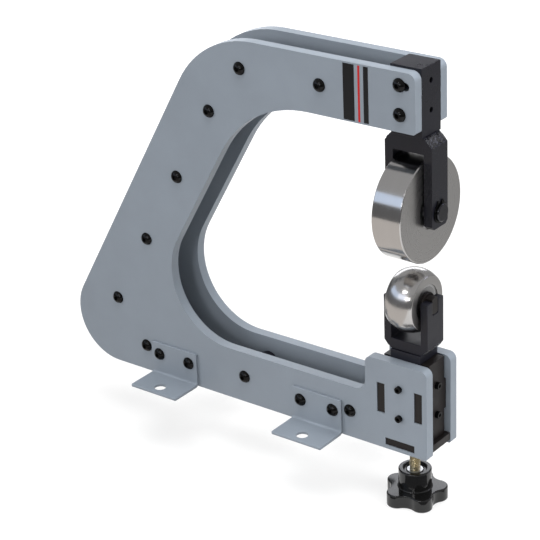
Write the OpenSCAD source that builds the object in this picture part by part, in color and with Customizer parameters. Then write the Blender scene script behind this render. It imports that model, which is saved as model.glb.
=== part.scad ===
// Bench-top English wheel. Two C-shaped side plates are bolted over round spacer bars. A
// tilting yoke at the upper arm's end carries the flat upper wheel, and a square post in the
// lower arm carries the crowned anvil wheel, raised and lowered by a star knob on a screw.
// Millimetres, with +X from the rear column towards the wheels and +Z up. The origin is the
// centre of the four bench-bolt holes, on the underside of the feet.

/* [Side plates] */
// Thickness of each side plate
plate_t = 12; // [10:1:14]
// Clear gap between the side plates
plate_gap = 36; // [34:1:40]
// Height of the side plates
plate_h = 442; // [430:1:480]
// Overall length of the side plates
plate_l = 503; // [490:1:540]
// Distance from the bench-bolt centre to the lower arm's end
front_reach = 250; // [245:1:270]
// How far the upper arm stops short of the lower arm's end
upper_setback = 11.5; // [5:0.5:14]
// Depth of the upper arm
upper_arm = 65; // [60:1:70]
// Depth of the lower arm
lower_arm = 64; // [60:1:70]
// Width of the sloping rear column, square to its edges
column_w = 84.5; // [76:0.5:95]
// Slope of the rear column from the bench, in degrees
column_slope = 59.5; // [57:0.5:63]
// Radius of the heel, where the column meets the foot edge
heel_r = 58; // [50:1:64]
// Radius of the shoulder, where the column meets the top edge
shoulder_r = 120; // [90:1:130]
// Radius of the throat's lower corner
throat_low_r = 80; // [50:1:90]
// Radius of the throat's upper corner
throat_high_r = 140; // [90:1:150]

/* [Guide block] */
// Height of the block's top edge above the bench
block_h = 108.5; // [104:0.5:112]
// Length of the block along the lower arm
block_l = 80; // [76:1:90]
// Radius of the block's upper corners
block_corner_r = 8; // [4:0.5:10]
// Radius where the block's back edge meets the lower arm
block_root_r = 15; // [8:1:20]
// Radius of the upper arm's end corner
arm_corner_r = 9; // [4:0.5:11]
// Radius of the small corners at both arms' lower ends
small_corner_r = 3; // [1:0.5:5]

/* [Spacer bars] */
// Diameter of the spacer bars between the side plates
spacer_d = 25; // [20:1:28]
// Drop of the top row of spacers below the top edge
top_row_drop = 32; // [28:1:36]
// Distance from the upper arm's end to the first spacer of the top row
top_row_back = 119; // [110:1:130]
// Distance between the two spacers of the top row
top_row_pitch = 105.5; // [95:0.5:110]
// Height of the column's lowest spacer
column_low_h = 86.5; // [80:0.5:92]
// Drop of the column's highest spacer below the top edge
column_high_drop = 89; // [84:1:96]
// Distance of the column's spacers from its rear edge
column_edge = 49; // [44:1:54]
// Height of the lower row of spacers
low_row_h = 33; // [30:0.5:36]

/* [Screws] */
// Thread diameter of the frame's button-head screws
screw_d = 8; // [6:0.5:8]
// Diameter of their heads
head_d = 15.5; // [13:0.5:16]
// Height of their heads
head_h = 5.4; // [4:0.1:6]
// Width across flats of their hex sockets
socket_w = 5; // [4:0.5:6]
// How far a screw reaches into what it is tapped into
screw_bite = 12; // [8:1:13]
// Diameter of the clearance holes in the side plates
clear_d = 9; // [8.5:0.1:10]

/* [Feet] */
// Distance between the front and rear bench-bolt holes
foot_spacing = 208; // [190:1:212]
// Width of each foot bracket
foot_w = 68; // [60:1:74]
// Height of each foot bracket up the side plate
foot_h = 43; // [38:1:48]
// Depth of each foot bracket out from the side plate
foot_d = 44.5; // [40:0.5:50]
// Thickness of the foot brackets' sheet
foot_t = 3; // [2:0.5:4]
// Inner radius of the feet's bend
foot_bend_r = 3; // [2:0.5:5]
// Radius of the feet's free corners
foot_corner_r = 2; // [1:0.5:4]
// Distance of the bench-bolt holes from the side plate
foot_hole_out = 31; // [28:0.5:34]
// Diameter of the bench-bolt holes
foot_hole_d = 14; // [10:0.5:15]
// Distance between the two screws of a foot
foot_screw_pitch = 44.5; // [36:0.5:46]
// Height of the feet's screws above the bench
foot_screw_h = 28.5; // [26:0.5:30]

/* [Yoke] */
// Width of the yoke's stem and of the post along the arms
bar_w = 38; // [34:0.5:39]
// Clearance on each side of the stem and the post between the side plates
bar_gap = 0.25; // [0.1:0.05:0.5]
// Height of the stem's top above the side plates
stem_proud = 2.5; // [0:0.5:5]
// Height of the yoke's pivot screw above the upper arm's lower edge
pivot_up = 19; // [17:0.5:22]
// Distance from the pivot screw up to the locking screw
lock_pitch = 32; // [29:0.5:34]
// Radial clearance of the pivot screw in the side plates
pivot_gap = 0.05; // [0.02:0.01:0.1]
// Greatest tilt of the yoke towards the wheel end, in degrees
tilt_front = 14; // [8:1:15]
// Greatest tilt of the yoke the other way, in degrees
tilt_rear = 1.5; // [0.5:0.5:4]
// Gap between the upper arm's lower edge and the fork
fork_drop = 8; // [6:0.5:12]
// Outer width of the upper fork, along the axle
fork_w = 58; // [56:0.5:62]
// Depth of the upper fork, across the arms
fork_d = 30; // [26:1:34]
// Thickness of the upper fork's legs
fork_leg = 10; // [8:0.5:10]
// Thickness of the upper fork's crossbar
fork_bar = 18; // [14:1:22]
// Length of the upper fork's legs below the axle
fork_toe = 17; // [14:1:20]
// Size of the bevels on the legs' lower corners
toe_bevel = 4; // [2:0.5:6]
// Radius of the weld beads between the stem and the upper fork
fork_bead_r = 5; // [3:0.5:6]
// Diameter of the tapped holes in the stem's front face
grub_d = 6; // [4:0.5:6]
// Length of the grub screws in those holes
grub_l = 8; // [5:0.5:9]
// Depth of the grub screws below the stem's face
grub_sunk = 2; // [1:0.5:3]

/* [Upper wheel] */
// Diameter of the flat upper wheel
wheel_d = 117; // [108:1:124]
// Width of the upper wheel
wheel_w = 36; // [35:0.5:37]
// Bevel on the upper wheel's rims
wheel_bevel = 1; // [0.5:0.5:2]
// Gap between the upper wheel and its fork's crossbar
wheel_gap = 7.5; // [4:0.5:10]

/* [Axles and bearings] */
// Diameter of both axles
axle_d = 20; // [18:0.5:20]
// How far the upper axle stands out of each leg
axle_out = 4.5; // [4:0.5:7]
// Outer diameter of the ball bearings
bearing_od = 42; // [40:0.5:46]
// Width of the ball bearings
bearing_w = 12; // [10:0.5:13]
// Depth of the bearings below the wheels' faces
bearing_sunk = 1.5; // [1:0.1:2]
// Diameter of the bearing balls
ball_d = 6.4; // [5.6:0.1:6.6]
// Number of balls in a bearing
ball_count = 9; // [7:1:10]
// Thickness of the circlips on the upper axle
clip_t = 1.2; // [1:0.1:1.5]
// Radial width of the circlips
clip_w = 3; // [2:0.1:3.5]
// Outer diameter of the distance rings beside the bearings
collar_d = 25; // [23:0.5:26]
// Height of the land that the bearings stand against inside the wheels
land_h = 3; // [1:0.5:5]

/* [Post and anvil] */
// Distance of the post's centre from the lower arm's end
post_setback = 35.5; // [35:0.5:38]
// Clearance between the post and each guide plate
guide_gap = 0.2; // [0.1:0.05:0.5]
// Clearance between the lower fork and the guide block's top
post_fork_gap = 10; // [9:0.5:14]
// Outer width of the lower fork, along the axle
post_fork_w = 56; // [54:0.5:60]
// Depth of the lower fork, across the arms
post_fork_d = 32; // [28:1:34]
// Thickness of the lower fork's legs
post_fork_leg = 9; // [7:0.5:9]
// Thickness of the lower fork's crossbar
post_fork_bar = 12.5; // [10:0.5:16]
// Height of the lower fork's legs above the axle's centre
post_fork_top = 6; // [4:0.5:9]
// Diameter of the anvil at its crown
anvil_d = 72; // [64:1:76]
// Width of the anvil
anvil_w = 35; // [34:0.5:36]
// Radius of the anvil's crown
anvil_crown_r = 30; // [26:1:60]
// Gap between the anvil and its fork's crossbar
anvil_gap = 8; // [6:0.5:12]
// Width of the axle's flats, and of the slots that hold them
flat_w = 11; // [9:0.5:12]
// Radius of those slots' lower corners
slot_corner_r = 1.5; // [0.5:0.5:2]
// Radius of the weld beads between the post and the lower fork
post_fork_bead_r = 4; // [3:0.5:5]
// Gap left below the post at rest, down to the base bar
post_low_gap = 14.4; // [12:0.2:18]

/* [Guide] */
// Thickness of the two guide plates
guide_t = 10; // [8:0.5:11]
// Height of the guide plates' tabs and of their slots
tab_h = 36.5; // [30:0.5:42]
// Height of the middle of those tabs above the bench
tab_mid = 61.75; // [56:0.25:66]
// Depth of the tabs' ends below the side plates' faces
tab_sunk = 1; // [0.5:0.5:3]
// Gap between a guide plate's body and each side plate, which only the tabs cross
guide_side_gap = 3; // [1:0.5:4]
// Clearance round a tab in its slot
tab_gap = 0.1; // [0.05:0.05:0.3]
// Thickness of the base bar
base_t = 9; // [8:0.5:12]
// Height of the base bar's underside above the bench
base_z = 4.6; // [3:0.2:8]
// Length of the base bar along the arms
base_l = 70; // [64:1:71]
// Length of the base bar's tabs
base_tab_l = 38; // [30:1:44]
// Height of the middle of the two pairs of guide set screws
set_mid = 61; // [56:0.5:64]
// Distance between the set screws of a pair
set_pitch = 36; // [30:1:42]
// How far the guide's set screws stand out of the near and front plates
set_out = 4; // [0:0.5:5]

/* [Adjusting knob] */
// Thread diameter of the adjusting screw
spindle_d = 12; // [10:0.5:14]
// Radial clearance of the adjusting screw in the base bar
spindle_gap = 0.05; // [0.02:0.01:0.1]
// Diameter of the screw's plain nose in the post
nose_d = 8; // [6:0.5:9]
// Length of the screw's plain nose
nose_l = 8; // [5:0.5:12]
// Distance from the base bar down to the knob's hub
knob_drop = 37.6; // [34:0.2:44]
// Diameter of the circle through the knob's five tips
knob_d = 73; // [66:1:82]
// Radius of each of the knob's tips
lobe_r = 12; // [7:0.5:13]
// Radius of the knob at its hollows
knob_waist_r = 27.5; // [25:0.5:32]
// Thickness of the knob's star
knob_t = 16; // [14:0.5:22]
// Diameter of the knob's hub
hub_d = 37.6; // [34:0.2:44]
// Height of the knob's hub above the star
hub_h = 23; // [18:0.5:28]
// Diameter of the recess in the hub's top
recess_d = 26; // [22:0.5:30]
// Depth of the recess in the hub's top
recess_h = 3; // [1:0.5:5]
// Diameter of the knob's metal insert
insert_d = 18; // [16:0.5:20]

/* [Hidden] */
$fn = 72;

// Clearance between pieces that seat on each other along a curved face
seat_gap = 0.05;
// Clearance between flat faces of pieces on different bodies
face_gap = 0.2;
// How far a cutting solid runs past the face that it opens
over = 1;
// How far a rounding circle crosses the lines that it rounds, so that it meets them cleanly
overlap = 0.002;

// Distances of the side plates' faces from the middle
inner_y = plate_gap / 2;
outer_y = inner_y + plate_t;
bar_d = plate_gap - 2 * bar_gap;

// The sloping column's rear and front edges, at a height z
heel_x = front_reach - plate_l + heel_r - heel_r / tan(column_slope / 2);
function rear_x(z) = heel_x + z / tan(column_slope);
function throat_x(z) = rear_x(z) + column_w / sin(column_slope);

// The arms
upper_end = front_reach - upper_setback;
upper_z = plate_h - upper_arm;

// Corners of a side plate, anticlockwise: x, z and the corner's radius
plate_corners = [
    [heel_x, 0, heel_r],
    [front_reach, 0, small_corner_r],
    [front_reach, block_h, block_corner_r],
    [front_reach - block_l, block_h, block_corner_r],
    [front_reach - block_l, lower_arm, block_root_r],
    [throat_x(lower_arm), lower_arm, throat_low_r],
    [throat_x(upper_z), upper_z, throat_high_r],
    [upper_end, upper_z, small_corner_r],
    [upper_end, plate_h, arm_corner_r],
    [rear_x(plate_h), plate_h, shoulder_r]];

// Middles of the spacer bars: the top row, the column and the lower row
column_steps = 3;
column_rise = (plate_h - column_high_drop - column_low_h) / column_steps;
low_row_pitch = foot_spacing / 2 + foot_w / 2 + head_d / 2 + 2.5;
function column_spot(z) = [rear_x(z) + column_edge / sin(column_slope), z];
spacer_spots = concat(
    [for (i = [0:1]) [upper_end - top_row_back - i * top_row_pitch, plate_h - top_row_drop]],
    [for (i = [0:column_steps]) column_spot(column_low_h + i * column_rise)],
    [for (i = [-1:1]) [i * low_row_pitch, low_row_h]]);

// The yoke
yoke_x = upper_end - bar_w / 2;
pivot_z = upper_z + pivot_up;
lock_z = pivot_z + lock_pitch;
fork_top = upper_z - fork_drop;
fork_floor = fork_top - fork_bar;
wheel_z = fork_floor - wheel_gap - wheel_d / 2;
fork_low = wheel_z - fork_toe;
fork_bevel = (fork_w - bar_w) / 2 - 0.5;

// The guide, the post and the anvil
post_x = front_reach - post_setback;
guide_in = bar_w / 2 + guide_gap;
base_top = base_z + base_t;
post_low = base_top + post_low_gap;
post_fork_low = block_h + post_fork_gap;
post_fork_floor = post_fork_low + post_fork_bar;
anvil_z = post_fork_floor + anvil_gap + anvil_d / 2;
post_fork_high = anvil_z + post_fork_top;
post_fork_bevel = (post_fork_w - bar_w) / 2 - 0.5;

// Bearings
ball_path_r = (axle_d + bearing_od) / 4;
ball_gap = 0.04;
race_r = 0.38 * ball_d;
shield_t = 0.6;
cage_wall = 0.8;
cage_lip = 1;

// Weld beads: how far their middles stand out from the bar and over the fork's bevel
bead_out = 0.3;
bead_over = 0.5;

// Circlips: the depth of their grooves, and where their two ears stand
groove_h = 0.6;
ear_angle = 20;

// The knob
knob_top = base_z - knob_drop;
star_top = knob_top - hub_h;
star_low = star_top - knob_t;
knob_lobes = 5;
knob_turn = 32;

// Colours of the finishes
grey_paint = [0.56, 0.60, 0.65];
black_paint = [0.10, 0.10, 0.11];
black_oxide = [0.06, 0.06, 0.07];
bright_steel = [0.72, 0.72, 0.72];
dull_steel = [0.55, 0.55, 0.55];
yellow_zinc = [0.72, 0.65, 0.42];

// Shared shapes

function unit(v) = v / norm(v);
function at(corners, i) = let (c = corners[(i + len(corners)) % len(corners)]) [c[0], c[1]];
// Positive where an anticlockwise outline turns left
function turn_at(corners, i) =
    cross(at(corners, i) - at(corners, i - 1), at(corners, i + 1) - at(corners, i));

// The sliver between a sharp corner at p, with edges towards a and b, and its round
module corner_sliver(p, a, b, r) {
    u = unit(a - p);
    v = unit(b - p);
    half = acos(u * v) / 2;
    middle = p + unit(u + v) * (r - overlap) / sin(half);
    reach = r / tan(half);
    difference() {
        polygon([p - unit(u + v) * over, p + u * reach, middle, p + v * reach]);
        translate(middle) circle(r = r);
    }
}

// A closed outline of corners, each [x, y, radius]
module rounded_outline(corners) {
    last = len(corners) - 1;
    difference() {
        union() {
            polygon([for (c = corners) [c[0], c[1]]]);
            for (i = [0:last])
                if (turn_at(corners, i) < 0)
                    corner_sliver(at(corners, i), at(corners, i - 1), at(corners, i + 1), corners[i][2]);
        }
        for (i = [0:last])
            if (turn_at(corners, i) > 0)
                corner_sliver(at(corners, i), at(corners, i - 1), at(corners, i + 1), corners[i][2]);
    }
}

// A drawing in x and z, given thickness along y from y0 to y1
module slab(y0, y1) {
    translate([0, y1, 0]) rotate([90, 0, 0]) linear_extrude(y1 - y0) children();
}

// A cylinder along y from y0 to y1
module y_rod(x, z, r, y0, y1) {
    translate([x, y1, z]) rotate([90, 0, 0]) cylinder(r = r, h = y1 - y0);
}

// A cylinder along x from x0 to x1
module x_rod(y, z, r, x0, x1) {
    translate([x0, y, z]) rotate([0, 90, 0]) cylinder(r = r, h = x1 - x0);
}

module block(low, high) {
    translate(low) cube(high - low);
}

module far_side() {
    mirror([0, 1, 0]) children();
}

// A hex socket that opens at z = 0 and goes down
module hex_socket(width, depth) {
    translate([0, 0, -depth]) cylinder(d = width / cos(30), h = depth + over, $fn = 6);
}

// A button-head screw whose head stands on z = 0, with its shank below
module button_screw(shank) {
    dome_r = (pow(head_d / 2, 2) + pow(head_h, 2)) / (2 * head_h);
    difference() {
        union() {
            intersection() {
                cylinder(d = head_d, h = head_h);
                translate([0, 0, head_h - dome_r]) sphere(r = dome_r);
            }
            translate([0, 0, -shank]) cylinder(d = screw_d, h = shank + head_h / 4);
        }
        translate([0, 0, head_h]) hex_socket(socket_w, head_h * 0.6);
    }
}

// A headless screw whose socket end is at z = 0, with its point below
module set_screw(d, length) {
    difference() {
        translate([0, 0, -length]) cylinder(d = d, h = length);
        hex_socket(d / 2, d / 2);
    }
}

// A button-head screw on the near face at depth y, pointing inwards
module near_screw(x, z, y, shank) {
    translate([x, -y, z]) rotate([90, 0, 0]) button_screw(shank);
}

// Side plates

// The locking screw's slot: an arc about the pivot screw, round at both ends
module lock_slot() {
    function spot(a) = [lock_pitch * sin(a), lock_pitch * cos(a)];
    translate([yoke_x, pivot_z]) {
        difference() {
            intersection() {
                circle(r = lock_pitch + clear_d / 2 - overlap);
                polygon([[0, 0], 2 * spot(-tilt_rear), 2 * spot(tilt_front)]);
            }
            circle(r = lock_pitch - clear_d / 2 + overlap);
        }
        for (a = [-tilt_rear, tilt_front]) translate(spot(a)) circle(d = clear_d);
    }
}

module side_plate() {
    color(grey_paint) difference() {
        slab(-outer_y, -inner_y) difference() {
            rounded_outline(plate_corners);
            lock_slot();
            translate([yoke_x, pivot_z]) circle(r = screw_d / 2 + pivot_gap);
            for (s = spacer_spots) translate(s) circle(d = clear_d);
            for (s = [-1, 1])
                translate([post_x + s * (guide_in + guide_t / 2), tab_mid])
                    square([guide_t, tab_h] + 2 * tab_gap * [1, 1], center = true);
            translate([post_x, base_z + base_t / 2])
                square([base_tab_l, base_t] + 2 * tab_gap * [1, 1], center = true);
        }
        for (x = [-1, 1], s = [-1, 1])
            y_rod(x * foot_spacing / 2 + s * foot_screw_pitch / 2, foot_screw_h,
                screw_d / 2 + seat_gap, -outer_y - over, -inner_y + over);
    }
}

module near_side_plate() {
    color(grey_paint) difference() {
        side_plate();
        for (s = [-1, 1])
            y_rod(post_x, set_mid + s * set_pitch / 2, screw_d / 2 + seat_gap,
                -outer_y - over, -inner_y + over);
    }
}

module far_side_plate() {
    far_side() side_plate();
}

module spacer_bars() {
    color(black_oxide) for (s = spacer_spots) difference() {
        y_rod(s[0], s[1], spacer_d / 2, -inner_y, inner_y);
        for (end = [-inner_y - over, inner_y - screw_bite - over])
            y_rod(s[0], s[1], screw_d / 2 + seat_gap, end, end + screw_bite + 2 * over);
    }
}

module near_spacer_screws() {
    color(black_oxide) for (s = spacer_spots)
        near_screw(s[0], s[1], outer_y, plate_t + screw_bite);
}

module far_spacer_screws() {
    far_side() near_spacer_screws();
}

// Feet

// A bent-sheet foot on the near plate, centred on x = 0
module foot() {
    bend = foot_t + foot_bend_r;
    color(grey_paint) difference() {
        intersection() {
            translate([-foot_w / 2, -outer_y, 0]) rotate([90, 0, 90]) linear_extrude(foot_w)
                difference() {
                    rounded_outline([[-foot_d, 0, foot_t / 4], [0, 0, bend], [0, foot_h, foot_t / 4],
                        [-foot_t, foot_h, foot_t / 4], [-foot_t, foot_t, foot_bend_r],
                        [-foot_d, foot_t, foot_t / 4]]);
                }
            translate([0, 0, -over]) linear_extrude(foot_h + 2 * over)
                translate([0, -outer_y]) rounded_outline([
                    [-foot_w / 2, -foot_d, foot_corner_r], [foot_w / 2, -foot_d, foot_corner_r],
                    [foot_w / 2, over, foot_corner_r / 4], [-foot_w / 2, over, foot_corner_r / 4]]);
            slab(-outer_y - foot_d - over, -outer_y + over) rounded_outline([
                [-foot_w / 2, -over, foot_corner_r / 4], [foot_w / 2, -over, foot_corner_r / 4],
                [foot_w / 2, foot_h, foot_corner_r], [-foot_w / 2, foot_h, foot_corner_r]]);
        }
        translate([0, -outer_y - foot_hole_out, -over])
            cylinder(d = foot_hole_d, h = foot_t + 2 * over);
        for (s = [-1, 1])
            y_rod(s * foot_screw_pitch / 2, foot_screw_h, clear_d / 2,
                -outer_y - foot_t - over, -outer_y + over);
    }
}

module foot_at(side) {
    translate([side * foot_spacing / 2, 0, 0]) foot();
}

module near_rear_foot() { foot_at(-1); }
module near_front_foot() { foot_at(1); }
module far_rear_foot() { far_side() foot_at(-1); }
module far_front_foot() { far_side() foot_at(1); }

module near_foot_screws() {
    color(black_oxide) for (x = [-1, 1], s = [-1, 1])
        near_screw(x * foot_spacing / 2 + s * foot_screw_pitch / 2, foot_screw_h,
            outer_y + foot_t, foot_t + plate_t);
}

module far_foot_screws() {
    far_side() near_foot_screws();
}

// Guide for the post

// A guide plate with a tab through each side plate; side is -1 at the rear, 1 at the front
module guide_plate(side) {
    x0 = post_x + side * (guide_in + guide_t / 2) - guide_t / 2;
    tab_y = outer_y - tab_sunk;
    body_y = inner_y - guide_side_gap;
    block([x0, -body_y, base_top], [x0 + guide_t, body_y, block_h]);
    block([x0, -tab_y, tab_mid - tab_h / 2], [x0 + guide_t, tab_y, tab_mid + tab_h / 2]);
}

module rear_guide_plate() {
    color(black_oxide) guide_plate(-1);
}

module front_guide_plate() {
    x0 = post_x + guide_in;
    color(black_oxide) difference() {
        guide_plate(1);
        for (s = [-1, 1])
            x_rod(0, set_mid + s * set_pitch / 2, screw_d / 2 + seat_gap, x0 - over,
                x0 + guide_t + over);
    }
}

module guide_base_bar() {
    tab_y = outer_y - tab_sunk;
    color(black_oxide) difference() {
        union() {
            block([post_x - base_l / 2, -inner_y, base_z], [post_x + base_l / 2, inner_y, base_top]);
            block([post_x - base_tab_l / 2, -tab_y, base_z],
                [post_x + base_tab_l / 2, tab_y, base_top]);
        }
        translate([post_x, 0, base_z - over])
            cylinder(r = spindle_d / 2 + spindle_gap, h = base_t + 2 * over);
    }
}

module side_set_screws() {
    out_y = outer_y + set_out;
    color(black_oxide) for (s = [-1, 1])
        translate([post_x, -out_y, set_mid + s * set_pitch / 2])
            rotate([90, 0, 0]) set_screw(screw_d, out_y - bar_d / 2 - face_gap);
}

module front_set_screws() {
    length = guide_t + set_out;
    color(black_oxide) for (s = [-1, 1])
        translate([post_x + guide_in + length, 0, set_mid + s * set_pitch / 2])
            rotate([0, 90, 0]) set_screw(screw_d, length);
}

// Forks, axles and bearings

// A fork in x and z: two legs on a crossbar whose outer corners are bevelled
module fork_outline(width, leg, low, floor, high, bevel) {
    polygon([[-width / 2 + bevel, low], [width / 2 - bevel, low], [width / 2, low + bevel],
        [width / 2, high], [width / 2 - leg, high], [width / 2 - leg, floor],
        [-width / 2 + leg, floor], [-width / 2 + leg, high], [-width / 2, high],
        [-width / 2, low + bevel]]);
}

// Two rippled weld beads along y, where a bar's sides meet a fork's bevels at height z;
// the fork lies below for dir -1 and above for dir 1
module weld_beads(z, dir, r, length) {
    reach = length / 2 - r;
    steps = round(2 * reach / (0.6 * r));
    for (s = [-1, 1], i = [0:steps])
        translate([s * (bar_w / 2 + bead_out * r), reach * (2 * i / steps - 1), z + dir * bead_over * r])
            sphere(r = r);
}

// A ring along x, from r0 to r1, centred on x
module x_ring(x, r0, r1, width) {
    translate([x, 0, 0]) rotate([0, 90, 0]) rotate_extrude()
        translate([r0, -width / 2]) square([r1 - r0, width]);
}

// One ring of a ball bearing, with its ball groove
module race(r0, r1) {
    rotate([0, 90, 0]) rotate_extrude() difference() {
        translate([r0, -bearing_w / 2]) square([r1 - r0, bearing_w]);
        translate([ball_path_r, 0]) circle(r = ball_d / 2 + ball_gap, $fn = 48);
    }
}

module inner_race() { race(axle_d / 2 + seat_gap, ball_path_r - race_r); }
module outer_race() { race(ball_path_r + race_r, bearing_od / 2); }

// Two copies of a bearing's piece, one in each end of a wheel of the given width
module both_ends(width) {
    for (s = [-1, 1])
        translate([s * (width / 2 - bearing_sunk - bearing_w / 2), 0, 0]) children();
}

module ball_ring() {
    for (i = [0:ball_count - 1])
        rotate([i * 360 / ball_count, 0, 0]) translate([0, ball_path_r, 0])
            sphere(d = ball_d, $fn = 32);
}

// The ring that spaces a bearing's balls, with a round pocket for each
module cage() {
    difference() {
        x_ring(0, ball_path_r - cage_wall, ball_path_r + cage_wall, ball_d + 2 * cage_lip);
        for (i = [0:ball_count - 1])
            rotate([i * 360 / ball_count, 0, 0])
                y_rod(0, 0, ball_d / 2 + 2 * ball_gap, ball_path_r - 2 * cage_wall,
                    ball_path_r + 2 * cage_wall);
    }
}

// The four shields of a wheel's two bearings, in the outer rings' ends
module shields(width) {
    both_ends(width) for (s = [-1, 1])
        x_ring(s * (bearing_w - shield_t) / 2, ball_path_r - race_r + face_gap,
            ball_path_r + race_r - seat_gap, shield_t);
}

// The distance tube between a wheel's two inner rings
module sleeve(width) {
    x_ring(0, axle_d / 2 + seat_gap, ball_path_r - race_r,
        width - 2 * (bearing_sunk + bearing_w));
}

// The distance rings between a wheel's inner rings and its fork's legs
module collars(width, inside) {
    from = width / 2 - bearing_sunk;
    to = inside / 2 - seat_gap;
    for (s = [-1, 1])
        x_ring(s * (from + to) / 2, axle_d / 2 + seat_gap, collar_d / 2, to - from);
}

// The hole through a wheel: a seat for a bearing at each end, and the land between them
module wheel_bore(width) {
    seat = bearing_sunk + bearing_w;
    x_rod(0, 0, bearing_od / 2 - land_h, -width / 2, width / 2);
    for (s = [-1, 1])
        translate([s * (width / 2 + over - (seat + over) / 2), 0, 0])
            x_rod(0, 0, bearing_od / 2 + seat_gap, -(seat + over) / 2, (seat + over) / 2);
}

// Yoke

module on_yoke() { translate([yoke_x, 0, 0]) children(); }
module on_upper_axle() { translate([yoke_x, 0, wheel_z]) children(); }

module stem_bar() {
    block([-bar_w / 2, -bar_d / 2, fork_top], [bar_w / 2, bar_d / 2, plate_h + stem_proud]);
}

module yoke_stem() {
    color(black_paint) on_yoke() difference() {
        stem_bar();
        for (z = [pivot_z, lock_z]) {
            y_rod(0, z, screw_d / 2 + seat_gap, -bar_d / 2 - over, bar_d / 2 + over);
            x_rod(0, z, grub_d / 2 + seat_gap, 0, bar_w / 2 + over);
        }
    }
}

module yoke_fork_solid() {
    intersection() {
        slab(-fork_d / 2, fork_d / 2) translate([0, fork_top]) mirror([0, 1])
            fork_outline(fork_w, fork_leg, 0, fork_bar, fork_top - fork_low, fork_bevel);
        translate([-fork_w / 2 - over, 0, 0]) rotate([90, 0, 90])
            linear_extrude(fork_w + 2 * over)
                polygon([[-fork_d / 2 + toe_bevel, fork_low], [fork_d / 2 - toe_bevel, fork_low],
                    [fork_d / 2, fork_low + toe_bevel], [fork_d / 2, fork_top + over],
                    [-fork_d / 2, fork_top + over], [-fork_d / 2, fork_low + toe_bevel]]);
    }
}

module yoke_fork() {
    color(black_paint) on_yoke() difference() {
        yoke_fork_solid();
        x_rod(0, wheel_z, axle_d / 2 + seat_gap, -fork_w / 2 - over, fork_w / 2 + over);
    }
}

module yoke_welds() {
    color(black_paint) on_yoke() difference() {
        weld_beads(fork_top, -1, fork_bead_r, fork_d);
        stem_bar();
        yoke_fork_solid();
    }
}

module near_yoke_screws() {
    color(black_oxide) for (z = [pivot_z, lock_z])
        near_screw(yoke_x, z, outer_y + face_gap, plate_t + bar_gap + screw_bite + face_gap);
}

module far_yoke_screws() {
    far_side() near_yoke_screws();
}

module yoke_grub_screws() {
    color(black_oxide) for (z = [pivot_z, lock_z])
        translate([yoke_x + bar_w / 2 - grub_sunk, 0, z]) rotate([0, 90, 0])
            set_screw(grub_d, grub_l);
}

module upper_axle() {
    half = fork_w / 2 + axle_out;
    color(dull_steel) on_upper_axle() difference() {
        intersection() {
            x_rod(0, 0, axle_d / 2, -half, half);
            rotate([0, 90, 0]) rotate_extrude() polygon([[0, -half], [axle_d / 2 - 1, -half],
                [axle_d / 2 + over, -half + 1 + over], [axle_d / 2 + over, half - 1 - over],
                [axle_d / 2 - 1, half], [0, half]]);
        }
        for (s = [-1, 1])
            x_ring(s * (fork_w / 2 + face_gap + clip_t / 2), axle_d / 2 - groove_h, axle_d / 2 + over,
                clip_t + 2 * seat_gap);
    }
}

// A circlip with two eared ends, in the plane x = 0
module circlip() {
    r0 = axle_d / 2 - groove_h + seat_gap;
    r1 = r0 + 0.8 * clip_w;
    ear_r = 0.75 * clip_w;
    rotate([90, 0, 90]) linear_extrude(clip_t, center = true) rotate(90) difference() {
        union() {
            circle(r = r1);
            for (s = [-1, 1]) rotate(s * ear_angle) translate([r1, 0]) circle(r = ear_r);
        }
        circle(r = r0);
        for (s = [-1, 1]) rotate(s * ear_angle) translate([r1, 0]) circle(r = ear_r * 0.4);
        polygon([[0, 0], 2 * r0 * [cos(ear_angle / 2), sin(ear_angle / 2)],
            2 * r0 * [cos(ear_angle / 2), -sin(ear_angle / 2)]]);
    }
}

module upper_axle_circlips() {
    color(black_oxide) on_upper_axle() for (s = [-1, 1])
        translate([s * (fork_w / 2 + face_gap + clip_t / 2), 0, 0]) circlip();
}

module upper_axle_collars() {
    color(dull_steel) on_upper_axle() collars(wheel_w, fork_w - 2 * fork_leg);
}

module upper_bearing_inner_rings() {
    color(bright_steel) on_upper_axle() both_ends(wheel_w) inner_race();
}

module upper_bearing_sleeve() {
    color(dull_steel) on_upper_axle() sleeve(wheel_w);
}

module upper_wheel() {
    r = wheel_d / 2;
    w = wheel_w / 2;
    color(bright_steel) on_upper_axle() difference() {
        rotate([0, 90, 0]) rotate_extrude($fn = 144) polygon([[0, -w], [r - wheel_bevel, -w],
            [r, -w + wheel_bevel], [r, w - wheel_bevel], [r - wheel_bevel, w], [0, w]]);
        wheel_bore(wheel_w);
    }
}

module upper_bearing_outer_rings() {
    color(bright_steel) on_upper_axle() both_ends(wheel_w) outer_race();
}

module upper_bearing_shields() {
    color(dull_steel) on_upper_axle() shields(wheel_w);
}

module upper_bearing_balls() {
    color(bright_steel) on_upper_axle() both_ends(wheel_w) ball_ring();
}

module upper_bearing_cages() {
    color(dull_steel) on_upper_axle() both_ends(wheel_w) cage();
}

// Post and anvil

module on_post() { translate([post_x, 0, 0]) children(); }
module on_anvil_axle() { translate([post_x, 0, anvil_z]) children(); }

module post_bar() {
    block([-bar_w / 2, -bar_d / 2, post_low], [bar_w / 2, bar_d / 2, post_fork_low]);
}

module post() {
    color(black_paint) on_post() difference() {
        post_bar();
        translate([0, 0, post_low - over])
            cylinder(r = nose_d / 2 + seat_gap, h = nose_l + over + 1);
    }
}

module post_fork_solid() {
    slab(-post_fork_d / 2, post_fork_d / 2)
        fork_outline(post_fork_w, post_fork_leg, post_fork_low, post_fork_floor,
            post_fork_high, post_fork_bevel);
}

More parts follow.
